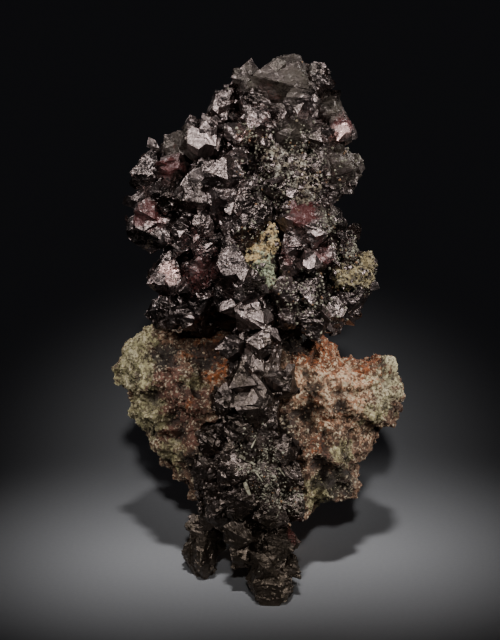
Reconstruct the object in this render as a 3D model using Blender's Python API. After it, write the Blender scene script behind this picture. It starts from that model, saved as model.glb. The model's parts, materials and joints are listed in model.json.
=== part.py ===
"""Native copper crystals with a coat of tenorite, on a piece of the rock they grew in.

The specimen is laid out square-on to its best face: x is across, y is back into the
specimen and z is up, in millimetres, from the tip of its front foot. It stands with that
face leaning back, on the front foot, the left foot and a low corner of the rock behind.
"""

import itertools
import math
import random

import bmesh
import bpy
from mathutils import Euler, Matrix, Vector, noise

MM = 0.001
LEAN = math.radians(15)  # how far the best face leans back when the specimen stands
GAP = 0.3 * MM  # between two pieces that touch
POCKET_GAP = 0.4 * MM  # between the copper and a bit of rock caught in it
SEED = 29

# A crystal is an octahedron with its tips cut off by a cube.
OCTAHEDRAL_FACES = [Vector(s).normalized() for s in itertools.product((-1, 1), repeat=3)]
INRADIUS = 1 / math.sqrt(3)  # of an octahedron whose tips are 1 from its middle
TIP_PER_WIDTH = 1.35  # the uncut tip's distance, for each half width of the cut crystal

CORE_FULLNESS = 1.05  # how far out a core's corners stand, as its faces cut inside its round

# The copper between the crystals: middle across, back, up, then half sizes, in mm.
COPPER_CORES = {
    "crown": ((4.5, 2, 92), (7, 7, 9)),
    "left_shoulder": ((-13, 2, 74), (7, 7.5, 10)),
    "heart": ((-2.5, 1, 73), (10.5, 8.5, 18)),
    "right_shoulder": ((7, 2, 68), (7, 7.5, 15)),
    "right_arm": ((12.5, 1, 80.5), (4.5, 4, 3.6)),
    "knob": ((15.5, 2, 61), (4.6, 5, 5)),
    "lower_left": ((-13, 1, 58), (6, 6.5, 6.5)),
    "waist": ((0, 1, 56), (12, 7, 6)),
    "column": ((-1.5, -5, 42), (5.6, 4, 16)),
    "apron": ((-2.5, -2, 25), (7.5, 4.4, 12)),
    "ankle": ((-8, 4, 18.5), (3.6, 7.5, 5)),
    "left_foot": ((-11, 13.5, 10), (2.8, 6, 7)),
    "front_foot": ((1.4, 0.5, 8.5), (4.4, 4, 10.5)),
}

# Cores whose sides and back are covered with crystals, and how many each takes.
COVERED_CORES = {
    "crown": 13,
    "left_shoulder": 10,
    "heart": 12,
    "right_shoulder": 10,
    "right_arm": 4,
    "knob": 5,
    "lower_left": 8,
    "waist": 8,
    "ankle": 3,
    "left_foot": 4,
    "front_foot": 5,
}

# The crystals of the best face: middle across, back, up and half width, all in mm,
# then the tilt, roll and turn in degrees, and the share of its width that it is high.
FACE_CRYSTALS = [
    # the crown
    (4.2, -1, 98.4, 6.0, 12, 8, 38, 1.0),
    (-2.5, 1, 99.2, 2.6, 20, 0, 20, 1.0),
    (10.2, 1, 98.0, 3.2, 5, 10, 60, 1.3),
    (7.2, -5, 94.6, 3.5, 0, 6, 45, 1.2),
    (-6.8, -1, 93.8, 3.9, 30, 20, 10, 1.0),
    (-1.9, -4, 95.0, 3.6, 10, 35, 60, 1.0),
    (-0.8, -6, 90.0, 3.3, 15, 10, 70, 1.1),
    (12.0, 0, 92.4, 4.2, 0, 25, 15, 0.9),
    (14.6, -2, 88.9, 3.4, 25, -20, 60, 1.0),
    (10.6, -4, 87.4, 3.4, -20, 15, 30, 0.9),
    (5.9, -4, 87.4, 3.8, 30, 5, 65, 0.9),
    (7.4, -5.5, 90.6, 2.4, 10, 30, 20, 1.0),
    # the left shoulder
    (-15.6, -1, 85.6, 3.5, 8, 40, 30, 1.1),
    (-11.6, -5, 86.6, 4.2, 10, -35, 42, 1.1),
    (-8.6, -4, 87.0, 3.0, 0, 44, 8, 1.3),
    (-7.0, -8.5, 80.4, 4.0, 3, -2, 46, 1.0),
    (-21.0, 0, 80.4, 3.4, 0, 6, 22, 1.4),
    (-21.6, -1, 76.0, 3.2, 10, 0, 65, 1.0),
    (-17.1, -4, 82.0, 3.0, 40, 10, 25, 1.0),
    (-18.4, -5, 76.8, 3.3, -12, 14, 48, 0.9),
    (-11.8, -5, 77.4, 5.2, 22, -12, 30, 1.0),
    (-10.8, -7.5, 71.4, 2.8, 35, 15, 10, 1.0),
    (-20.2, -3, 70.4, 5.3, 28, 12, 30, 0.9),
    (-14.6, -6, 69.0, 3.6, 12, 30, 55, 1.0),
    (-10.6, -8, 67.4, 3.4, -15, 20, 35, 1.0),
    # the heart of the cluster
    (-3.4, -6.5, 72.2, 6.6, 14, 6, 50, 1.1),
    (0.2, -9, 81.6, 2.4, 20, 30, 15, 1.0),
    (3.8, -9, 78.4, 2.7, 30, 10, 40, 1.0),
    (0.4, -7, 86.0, 2.4, 25, 10, 70, 1.0),
    (-4.4, -7, 87.8, 2.8, 15, 40, 30, 1.1),
    (-4.6, -9, 83.6, 2.2, 5, 20, 50, 0.9),
    # the right arm
    (14.2, -1, 82.0, 4.6, 4, 30, 35, 0.8),
    (17.2, 0, 82.6, 2.6, 10, 50, 20, 0.9),
    (12.6, 0, 78.0, 3.6, 0, 20, 60, 1.0),
    (10.0, -4, 82.6, 3.2, 40, 15, 20, 0.9),
    # the right shoulder
    (7.8, -6, 71.6, 5.0, 16, 14, 40, 1.0),
    (12.2, -3, 71.4, 3.2, 2, 4, 12, 1.2),
    (10.0, -8, 69.4, 3.0, -10, 30, 50, 0.9),
    (6.2, -8, 67.4, 3.0, 8, -30, 35, 1.1),
    (9.4, -8.5, 64.0, 3.6, 38, 65, 30, 0.6),
    (5.0, -8, 64.0, 2.8, 20, 15, 65, 1.0),
    # the knob
    (15.4, -3, 65.0, 3.5, 6, 20, 25, 0.9),
    (12.4, -6, 64.8, 2.2, 15, 10, 50, 1.2),
    (16.6, -2, 58.8, 4.4, -14, 24, 40, 1.0),
    (19.4, -1, 62.6, 2.6, 30, 5, 60, 1.0),
    # the lower edge of the cluster
    (-17.6, -4, 62.0, 4.1, 20, -15, 35, 1.0),
    (-11.8, -7, 62.0, 3.9, 10, 24, 55, 1.0),
    (-5.6, -9, 62.8, 4.7, 6, -14, 44, 1.2),
    (-2.2, -9.5, 60.2, 4.0, 12, 26, 40, 1.1),
    (4.2, -8.5, 58.4, 3.4, 2, 8, 44, 1.0),
    (9.2, -8, 59.0, 3.5, 40, 20, 15, 0.9),
    (-7.2, -8.5, 57.4, 3.2, 30, 40, 60, 0.8),
    (-11.8, -7, 57.2, 3.0, -10, 10, 30, 1.0),
    (-18.2, -3, 54.6, 3.0, 5, 8, 60, 1.4),
    (-13.4, -5, 54.2, 3.0, -25, 15, 20, 1.1),
    (-2.2, -9, 54.6, 3.4, 35, 10, 50, 0.9),
    (4.6, -8, 54.4, 3.0, 20, 45, 25, 0.9),
    (9.8, -7, 53.8, 3.0, -8, 6, 35, 1.4),
    (13.4, -4, 54.6, 3.1, 12, -10, 60, 1.2),
    # the column across the rock
    (-0.8, -9, 48.8, 3.2, 30, 15, 50, 1.1),
    (-5.2, -7.5, 48.0, 2.8, 10, 40, 20, 1.0),
    (-2.4, -9.5, 45.2, 2.6, 50, 20, 70, 1.0),
    (-1.6, -9.5, 39.0, 4.6, 8, -16, 48, 1.0),
    (3.8, -8, 41.2, 3.2, 20, 24, 30, 0.9),
    (-7.0, -6.5, 38.6, 3.2, 26, 8, 20, 1.0),
    (-4.2, -7.5, 33.6, 3.0, -12, 26, 40, 1.0),
    # the apron
    (-9.2, -3, 31.0, 3.4, 30, 10, 55, 0.9),
    (-1.6, -6, 30.0, 3.4, 12, 40, 30, 0.9),
    (3.8, -4, 29.4, 3.2, 45, 12, 20, 1.0),
    (-5.6, -5.5, 26.0, 3.8, 25, 16, 60, 1.1),
    (-10.0, -2, 25.0, 3.0, 10, 35, 20, 1.0),
    (0.2, -6, 24.2, 3.4, 8, 30, 25, 1.1),
    (5.0, -3, 24.4, 2.8, 30, 20, 65, 1.0),
    (5.6, -2, 18.6, 3.2, 35, 14, 50, 1.0),
    (-8.2, -2, 20.2, 3.4, 5, 25, 40, 1.1),
    (-3.6, -5, 19.4, 3.4, 10, 20, 35, 1.0),
    (1.0, -4.5, 17.2, 3.6, 28, 35, 70, 1.0),
    # the two feet
    (-4.0, -2.5, 13.0, 3.6, 18, 24, 30, 1.0),
    (-3.6, -1, 8.8, 2.6, 35, 10, 60, 0.9),
    (3.4, -2, 11.4, 3.2, -10, 18, 50, 1.0),
    (0.6, -2.5, 7.4, 3.0, 20, 40, 15, 1.0),
    (1.8, 0, 3.6, 3.8, 4, 6, 42, 1.4),
    (-9.4, 6, 17.0, 3.2, 20, 15, 45, 1.0),
    (-10.8, 12, 12.4, 3.2, 8, 14, 30, 1.4),
    (-12.0, 16, 8.4, 3.0, -6, 10, 55, 1.4),
]
STEPPED_FROM = 4.0  # half width in mm from which a crystal has a smaller one grown on it
COPPER_TRIANGLES = 5800

# The rock's outline as the best face shows it: across and up, in mm.
ROCK_OUTLINE = [
    (-20.9, 51.9), (-23.2, 50.7), (-25.5, 48.6), (-26.8, 45.4), (-27.4, 42.9),
    (-26.6, 40.5), (-25.5, 37.8), (-25.3, 34.4), (-22.6, 32.3), (-21.7, 30.2),
    (-18.8, 25.8), (-16.9, 22.8), (-14.6, 20.5), (-11.6, 18.8), (-6.1, 16.9),
    (1.5, 15.4), (7.4, 15.4), (11.4, 17.5), (14.8, 19.0), (17.1, 20.1),
    (18.4, 22.4), (18.8, 25.8), (20.9, 28.9), (22.4, 32.3), (24.5, 33.6),
    (26.0, 35.2), (26.4, 37.4), (27.6, 40.5), (26.8, 42.9), (25.5, 44.1),
    (24.9, 46.2), (23.9, 46.9), (21.7, 46.4), (19.0, 45.8), (16.7, 46.4),
    (14.8, 47.7), (12.0, 49.4), (9.9, 50.2), (5.3, 51.5), (-6.1, 52.4), (-14.6, 52.4),
]
ROCK_MIDDLE = (0, 37)
# The outline's share of its full size at each depth, front to back, in mm.
ROCK_DEPTHS = [(-4, 0.45), (-1, 0.78), (4, 0.97), (9, 1.0), (16, 0.94), (23, 0.76), (28, 0.45)]
# The low corner behind, which reaches the ground: middle, half sizes, in mm, and tilt.
ROCK_HEEL = [((-0.5, 25, 24), (9, 9.5, 13), 0), ((-0.3, 31, 15), (5.4, 8.5, 9), 0)]
ROCK_VOXEL = 0.9 * MM  # the size of the grains that its skin is first worked out in
ROCK_TRIANGLES = 1500
LEDGES = 1.9  # how high the rock's ledges stand, in mm
KNOBS = 1.5  # how high its rounder knobs stand, in mm

# The bits of rock caught among the crystals: middle, half sizes, in mm, and tilt in degrees.
ROCK_WEDGE = [((1.0, -9.5, 67.4), (1.7, 2.6, 4.2), 14), ((-0.6, -10.2, 64.6), (2.9, 2.4, 2.6), 0),
              ((0.9, -9.8, 62.2), (1.5, 2.2, 3.0), -4)]
KNOB_CRUST = [((16.0, -6.0, 61.6), (3.0, 2.2, 2.4), 10), ((19.4, -2.6, 64.0), (1.9, 2.2, 2.6), 0),
              ((18.4, -4.6, 61.4), (2.4, 2.4, 2.0), 0)]
CROWN_CRUST = [((5.4, -7.6, 80.6), (3.4, 2.2, 3.4), 12), ((8.0, -6.4, 77.6), (2.6, 2.2, 3.0), 0),
               ((2.4, -7.8, 83.4), (2.6, 2.0, 2.4), 0)]

CAUGHT_ROCK_TRIANGLES = 260

COLOURS = {
    "copper_crystals": ((0.075, 0.060, 0.062), 0.38, 0.85),
    "matrix_rock": ((0.42, 0.31, 0.22), 0.85, 0.0),
    "rock_wedge": ((0.60, 0.55, 0.32), 0.8, 0.0),
    "knob_crust": ((0.55, 0.47, 0.28), 0.85, 0.0),
    "crown_crust": ((0.44, 0.42, 0.34), 0.8, 0.0),
}


def clear_scene():
    for thing in list(bpy.data.objects):
        bpy.data.objects.remove(thing)


def new_object(name, form):
    """An object that holds this bmesh."""
    mesh = bpy.data.meshes.new(name)
    form.to_mesh(mesh)
    form.free()
    thing = bpy.data.objects.new(name, mesh)
    bpy.context.scene.collection.objects.link(thing)
    return thing


def settle_modifiers(thing):
    """Takes an object's mesh as its modifiers leave it, and drops them."""
    graph = bpy.context.evaluated_depsgraph_get()
    mesh = bpy.data.meshes.new_from_object(thing.evaluated_get(graph))
    thing.modifiers.clear()
    thing.data = mesh


def cut_off(form, point, direction):
    """Cuts away what lies beyond a plane, and closes the cut."""
    everything = form.verts[:] + form.edges[:] + form.faces[:]
    cut = bmesh.ops.bisect_plane(
        form, geom=everything, dist=1e-6, plane_co=point, plane_no=direction, clear_outer=True
    )
    rim = [e for e in cut["geom_cut"] if isinstance(e, bmesh.types.BMEdge)]
    if rim:
        bmesh.ops.edgeloop_fill(form, edges=rim)


def crystal(half_width, depths, tip_cuts, grown_by):
    """An octahedral crystal about its own middle. depths has each face's share of its
    true depth, tip_cuts how far out the tips are cut along each of its axes, and grown_by
    moves every face outwards."""
    tip = half_width * TIP_PER_WIDTH
    form = bmesh.new()
    bmesh.ops.create_cube(form, size=2.0)
    form.transform(Matrix.Diagonal([tip * cut + grown_by for cut in tip_cuts]).to_4x4())
    for face, depth in zip(OCTAHEDRAL_FACES, depths):
        cut_off(form, face * (tip * INRADIUS * depth + grown_by), face)
    bmesh.ops.recalc_face_normals(form, faces=form.faces)
    return form


def crystal_settings():
    """Every crystal's place, half width, setting, height share, face depths and tip cuts."""
    rng = random.Random(SEED)

    def habit():
        depths = [rng.uniform(0.84, 1.12) for _ in OCTAHEDRAL_FACES]
        tip_cuts = [rng.choice((1.3, 1.3, rng.uniform(0.5, 0.8))) for _ in range(3)]
        return depths, tip_cuts

    for x, y, z, half_width, tilt, roll, turn, high in FACE_CRYSTALS:
        place = Vector((x, y, z))
        setting = Euler([math.radians(a) for a in (tilt, roll, turn)]).to_matrix()
        yield place, half_width, setting, high, *habit()
        if half_width >= STEPPED_FROM:
            aside = Vector([rng.uniform(-1, 1) for _ in range(3)]).normalized()
            share = rng.uniform(0.45, 0.65)
            beside = place + aside * half_width * (1.3 - share * 0.7)
            yield beside, half_width * share, setting, high, *habit()

    golden = math.pi * (3 - math.sqrt(5))
    for name, count in COVERED_CORES.items():
        middle, half = (Vector(v) for v in COPPER_CORES[name])
        for i in range(count):
            # A spiral over the core's sides and back, as y runs from its front to its rear.
            y = -0.2 + 1.2 * (i + 0.5) / count
            ring = math.sqrt(max(0.0, 1 - y * y))
            angle = golden * i + rng.uniform(-0.3, 0.3)
            out = Vector((ring * math.cos(angle), y, ring * math.sin(angle)))
            place = middle + Vector(a * b for a, b in zip(out, half)) * 0.85
            size = min(half) * rng.uniform(0.5, 0.75)
            setting = Euler([rng.uniform(0, math.tau) for _ in range(3)]).to_matrix()
            yield place, size, setting, rng.uniform(0.85, 1.2), *habit()


def placed(form, place, setting, high):
    """Stretches a form upright by high, turns it and puts it at a place in mm."""
    stretch = Matrix.Diagonal((1, 1, high))
    turn = Matrix.Translation(Vector(place) * MM) @ (setting @ stretch).to_4x4()
    form.transform(turn)
    return form


def copper_forms(grown_by=0.0):
    """The crystals and the copper between them, each as a bmesh."""
    for middle, half in COPPER_CORES.values():
        form = bmesh.new()
        bmesh.ops.create_icosphere(form, subdivisions=1, radius=CORE_FULLNESS)
        size = Vector(half) * MM + Vector((grown_by,) * 3)
        form.transform(Matrix.Translation(Vector(middle) * MM) @ Matrix.Diagonal(size).to_4x4())
        yield form
    for place, half_width, setting, high, depths, tip_cuts in crystal_settings():
        form = crystal(half_width * MM, depths, tip_cuts, grown_by)
        yield placed(form, place, setting, high)


def helper_collection(name, forms):
    """Forms as objects of a collection that is used as a Boolean's tool."""
    collection = bpy.data.collections.new(name)
    for i, form in enumerate(forms):
        thing = new_object(f"{name}_{i}", form)
        bpy.context.scene.collection.objects.unlink(thing)
        collection.objects.link(thing)
    bpy.context.scene.collection.children.link(collection)
    return collection


def remove_collection(collection):
    for thing in list(collection.objects):
        bpy.data.objects.remove(thing)
    bpy.data.collections.remove(collection)


def combine(thing, operation, forms):
    """Joins or cuts an object with many forms at once."""
    tools = helper_collection("tools", forms)
    step = thing.modifiers.new(operation, "BOOLEAN")
    step.operation = operation
    step.operand_type = "COLLECTION"
    step.collection = tools
    settle_modifiers(thing)
    remove_collection(tools)


def keep_largest_body(thing):
    """Drops the crumbs that a cut leaves loose."""
    form = bmesh.new()
    form.from_mesh(thing.data)
    bodies, seen = [], set()
    for start in form.verts:
        if start in seen:
            continue
        body, edge = {start}, [start]
        while edge:
            for e in edge.pop().link_edges:
                for v in e.verts:
                    if v not in body:
                        body.add(v)
                        edge.append(v)
        seen |= body
        bodies.append(body)
    largest = max(bodies, key=len)
    bmesh.ops.delete(form, geom=[v for v in form.verts if v not in largest], context="VERTS")
    form.to_mesh(thing.data)
    form.free()


def plain_triangles(thing):
    """Merges faces that lie in one plane, and cuts what is left in triangles."""
    form = bmesh.new()
    form.from_mesh(thing.data)
    bmesh.ops.dissolve_limit(form, angle_limit=math.radians(0.5), verts=form.verts,
                             edges=form.edges)
    bmesh.ops.triangulate(form, faces=form.faces)
    form.to_mesh(thing.data)
    form.free()


def fewer_triangles(thing, count):
    """Collapses the edges that matter least until about this many triangles are left."""
    plain_triangles(thing)
    step = thing.modifiers.new("fewer_faces", "DECIMATE")
    step.ratio = min(1, count / len(thing.data.polygons))
    settle_modifiers(thing)


def ground():
    """A block whose top is the ground that the leaning specimen stands on."""
    form = bmesh.new()
    bmesh.ops.create_cube(form, size=1.0)
    form.transform(Matrix.Rotation(LEAN, 4, "X") @ Matrix.Translation((0, 0, -0.5)))
    return form


def make_copper(caught_rocks):
    """The crystals and cores joined in one solid, with a pocket for each bit of rock."""
    forms = copper_forms()
    copper = new_object("copper_crystals", next(forms))
    combine(copper, "UNION", forms)
    fewer_triangles(copper, COPPER_TRIANGLES)
    combine(copper, "DIFFERENCE", [*map(pocket_for, caught_rocks), ground()])
    keep_largest_body(copper)
    plain_triangles(copper)
    return copper


def lump(middle, half, tilt):
    """A rounded lump of rock with an uneven skin."""
    form = bmesh.new()
    bmesh.ops.create_icosphere(form, subdivisions=3, radius=1.0)
    for v in form.verts:
        p = v.co + Vector(middle)
        v.co *= 1 + 0.35 * noise.noise(p * 2.1) + 0.22 * noise.noise(p * 4.6)
    turn = Matrix.Rotation(math.radians(tilt), 4, "Y")
    size = Matrix.Diagonal(Vector(half) * MM).to_4x4()
    form.transform(Matrix.Translation(Vector(middle) * MM) @ turn @ size)
    return form


def make_caught_rock(name, lumps):
    """A few lumps of rock joined in one solid."""
    first, *others = [lump(*each) for each in lumps]
    thing = new_object(name, first)
    combine(thing, "UNION", others)
    fewer_triangles(thing, CAUGHT_ROCK_TRIANGLES)
    return thing


def pocket_for(caught_rock):
    """The caught rock's own shape, larger by a gap all round."""
    form = bmesh.new()
    form.from_mesh(caught_rock.data)
    form.normal_update()
    moved = [v.co + v.normal * POCKET_GAP for v in form.verts]
    for v, co in zip(form.verts, moved):
        v.co = co
    return form


def rock_relief(point):
    """How far the rock's skin stands out or in at a point, in mm."""
    p = point / MM
    ledges = noise.ridged_multi_fractal(p * 0.09, 1.0, 2.1, 4, 1.0, 2.0, noise_basis="PERLIN_NEW")
    knobs = noise.noise(p * 0.32) + 0.5 * noise.noise(p * 0.75)
    return LEDGES * (ledges - 1.1) + KNOBS * knobs


def make_rock():
    """The rock: its outline at each depth, lofted, then made rough and faceted."""
    form = bmesh.new()
    middle = Vector((ROCK_MIDDLE[0], 0, ROCK_MIDDLE[1]))
    rings = []
    for depth, share in ROCK_DEPTHS:
        ring = []
        for x, z in ROCK_OUTLINE:
            p = middle + (Vector((x, 0, z)) - middle) * share
            ring.append(form.verts.new(Vector((p.x, depth, p.z)) * MM))
        rings.append(ring)
    edges = []
    for ring in rings:
        edges.append([form.edges.new((a, b)) for a, b in zip(ring, ring[1:] + ring[:1])])
    for front, back in zip(edges, edges[1:]):
        bmesh.ops.bridge_loops(form, edges=front + back)
    for end in (edges[0], edges[-1]):
        bmesh.ops.edgeloop_fill(form, edges=end)
    bmesh.ops.recalc_face_normals(form, faces=form.faces)
    rock = new_object("matrix_rock", form)
    combine(rock, "UNION", [lump(*each) for each in ROCK_HEEL])

    step = rock.modifiers.new("even_skin", "REMESH")
    step.mode = "VOXEL"
    step.voxel_size = ROCK_VOXEL
    settle_modifiers(rock)

    form = bmesh.new()
    form.from_mesh(rock.data)
    bmesh.ops.smooth_vert(form, verts=form.verts, factor=0.5, use_axis_x=True,
                          use_axis_y=True, use_axis_z=True)
    form.normal_update()
    moved = [v.co + v.normal * rock_relief(v.co) * MM for v in form.verts]
    for v, co in zip(form.verts, moved):
        v.co = co
    form.to_mesh(rock.data)
    form.free()

    fewer_triangles(rock, ROCK_TRIANGLES)
    combine(rock, "DIFFERENCE", [*copper_forms(grown_by=GAP), ground()])
    keep_largest_body(rock)
    plain_triangles(rock)
    return rock


def give_material(thing):
    colour, roughness, metallic = COLOURS[thing.name]
    material = bpy.data.materials.new(thing.name)
    material.use_nodes = True
    shader = material.node_tree.nodes["Principled BSDF"]
    shader.inputs["Base Color"].default_value = (*colour, 1)
    shader.inputs["Roughness"].default_value = roughness
    shader.inputs["Metallic"].default_value = metallic
    thing.data.materials.clear()
    thing.data.materials.append(material)


def stand_on_ground(things):
    """Leans the specimen back and centres it over the origin."""
    stand = bpy.data.objects.new("stand", None)
    bpy.context.scene.collection.objects.link(stand)
    stand.rotation_euler = (-LEAN, 0, 0)
    lean = Matrix.Rotation(-LEAN, 3, "X")
    corners = [lean @ v.co for thing in things for v in thing.data.vertices]
    middle_x = (min(c.x for c in corners) + max(c.x for c in corners)) / 2
    middle_y = (min(c.y for c in corners) + max(c.y for c in corners)) / 2
    stand.location = (-middle_x, -middle_y, 0)
    for thing in things:
        thing.parent = stand


def main():
    clear_scene()
    caught = {"rock_wedge": ROCK_WEDGE, "knob_crust": KNOB_CRUST, "crown_crust": CROWN_CRUST}
    caught_rocks = [make_caught_rock(name, lumps) for name, lumps in caught.items()]
    things = [make_copper(caught_rocks), make_rock(), *caught_rocks]
    stand_on_ground(things)
    for thing in things:
        give_material(thing)


main()
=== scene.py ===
"""The looks of a native copper specimen: copper crystals with a dark tenorite coat that
grew through a piece of granular host rock, standing on their own tips."""

import json
import math
import random

import bmesh
import bpy
import numpy as np
from mathutils import Matrix, Vector, noise
from mathutils.bvhtree import BVHTree

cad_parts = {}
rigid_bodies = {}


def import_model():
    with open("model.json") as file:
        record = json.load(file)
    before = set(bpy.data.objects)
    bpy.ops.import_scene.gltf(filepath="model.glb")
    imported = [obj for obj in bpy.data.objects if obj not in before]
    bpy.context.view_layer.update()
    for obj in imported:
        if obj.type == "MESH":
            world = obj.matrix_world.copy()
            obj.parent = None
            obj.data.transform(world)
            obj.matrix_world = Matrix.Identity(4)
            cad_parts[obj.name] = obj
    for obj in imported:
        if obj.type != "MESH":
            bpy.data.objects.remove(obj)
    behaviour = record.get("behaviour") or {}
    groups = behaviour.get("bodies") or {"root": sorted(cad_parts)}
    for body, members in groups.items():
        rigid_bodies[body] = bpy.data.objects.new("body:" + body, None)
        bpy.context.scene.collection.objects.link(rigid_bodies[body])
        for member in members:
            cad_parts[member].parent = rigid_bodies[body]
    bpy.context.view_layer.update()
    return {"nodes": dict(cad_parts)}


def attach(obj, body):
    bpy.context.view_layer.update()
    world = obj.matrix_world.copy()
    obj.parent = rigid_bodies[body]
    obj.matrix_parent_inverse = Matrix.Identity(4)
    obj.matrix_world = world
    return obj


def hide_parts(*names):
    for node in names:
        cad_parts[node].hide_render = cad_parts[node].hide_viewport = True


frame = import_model()

# The photograph's view. The specimen is described square-on to its best face: across, up
# and back in millimetres from the tip of its front foot. That face leans back by LEAN, and
# the camera looks straight at it from far off.
MM = 0.001
LEAN = math.radians(15)
FOOT_TIP = Vector((0.0005, -0.0190, 0))  # where the front foot's tip stands in the frame
PHOTO_HEIGHT = 121.6 * MM  # what the photograph's height spans at the specimen
LENS, FILM_HEIGHT = 200, 36


def on_face(across, up, back=0.0):
    """A place of the best face's own frame, in the frame's metres."""
    leant = Vector((across, up * math.sin(LEAN) + back * math.cos(LEAN),
                    up * math.cos(LEAN) - back * math.sin(LEAN)))
    return leant * MM + FOOT_TIP


TOWARDS_CAMERA = Vector((0, -math.cos(LEAN), math.sin(LEAN)))


def aimed(thing, direction):
    """Turns a lamp or a camera to look along a direction."""
    thing.rotation_euler = Vector(direction).to_track_quat("-Z", "Y").to_euler()
    return thing


camera = bpy.data.objects.new("camera", bpy.data.cameras.new("camera"))
camera.data.lens = LENS
camera.data.sensor_width = FILM_HEIGHT
camera.data.clip_start = 0.01
camera.location = on_face(-2.28, 53.4, 4) + TOWARDS_CAMERA * (PHOTO_HEIGHT * LENS / FILM_HEIGHT)
aimed(camera, -TOWARDS_CAMERA)
bpy.context.scene.collection.objects.link(camera)
bpy.context.scene.camera = camera

# The studio: soft boxes round the specimen in a dim room, which give the facets something
# bright to mirror, and spots that light a pool of floor at each side of its feet.
SPECIMEN_MIDDLE = Vector((0, 0, 0.055))
CLUSTER_MIDDLE = Vector((0, 0, 0.085))
KEY_LIGHT = Vector((-0.7, -0.65, 0.75))  # the way towards the key light
SPOT_HEIGHT = 0.5


def soft_box(name, towards, distance, width, height, power, spread, aim=SPECIMEN_MIDDLE):
    """A rectangular lamp that faces the specimen from a direction. A grid of slats in
    front of it keeps its light within a spread of so many degrees."""
    lamp = bpy.data.lights.new(name, "AREA")
    lamp.shape = "RECTANGLE"
    lamp.size, lamp.size_y = width, height
    lamp.energy = power
    lamp.spread = math.radians(spread)
    thing = bpy.data.objects.new(name, lamp)
    thing.location = aim + Vector(towards).normalized() * distance
    aimed(thing, aim - thing.location)
    bpy.context.scene.collection.objects.link(thing)
    return thing


# Each box: the way towards it, how far off, its width and height in metres, watts, spread.
specimen_lamps = [soft_box("key", KEY_LIGHT, 0.45, 0.10, 0.15, 0.078, 40, CLUSTER_MIDDLE),
                  soft_box("side", (0.85, -0.5, 0.55), 0.45, 0.10, 0.16, 0.105, 40),
                  soft_box("front", (0.12, -1, 0.5), 0.6, 0.10, 0.10, 0.025, 30),
                  soft_box("back_left", (-0.6, 0.6, 0.7), 0.5, 0.10, 0.14, 0.07, 50),
                  soft_box("back_right", (0.6, 0.6, 0.7), 0.5, 0.10, 0.14, 0.07, 50)]


def floor_spot(name, across, back, tilt, reach, power):
    """A spot over a place of the floor, with a soft edge a reach away from that place. tilt
    is how far back the lamp stands for each metre of its height."""
    away = Vector((0, tilt, 1)) * SPOT_HEIGHT
    lamp = bpy.data.lights.new(name, "SPOT")
    lamp.energy = power
    lamp.spot_size = 2 * math.atan(reach / away.length)
    lamp.spot_blend = 1.0
    lamp.shadow_soft_size = 0.025
    thing = bpy.data.objects.new(name, lamp)
    thing.location = Vector((across, back, 0)) + away
    aimed(thing, -away)
    bpy.context.scene.collection.objects.link(thing)
    return thing


# Each spot: where its pool lies, across and back, its tilt, its reach in metres and watts.
floor_lamps = [floor_spot("left_pool", -0.023, 0.008, -0.9, 0.034, 11),
               floor_spot("right_pool", 0.023, 0.012, -0.9, 0.034, 11),
               floor_spot("low", 0, 0.080, -2.2, 0.048, 26)]

room = bpy.data.worlds.new("room")
room.use_nodes = True
room.node_tree.nodes["Background"].inputs["Color"].default_value = (0.009, 0.009, 0.010, 1)
bpy.context.scene.world = room


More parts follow.
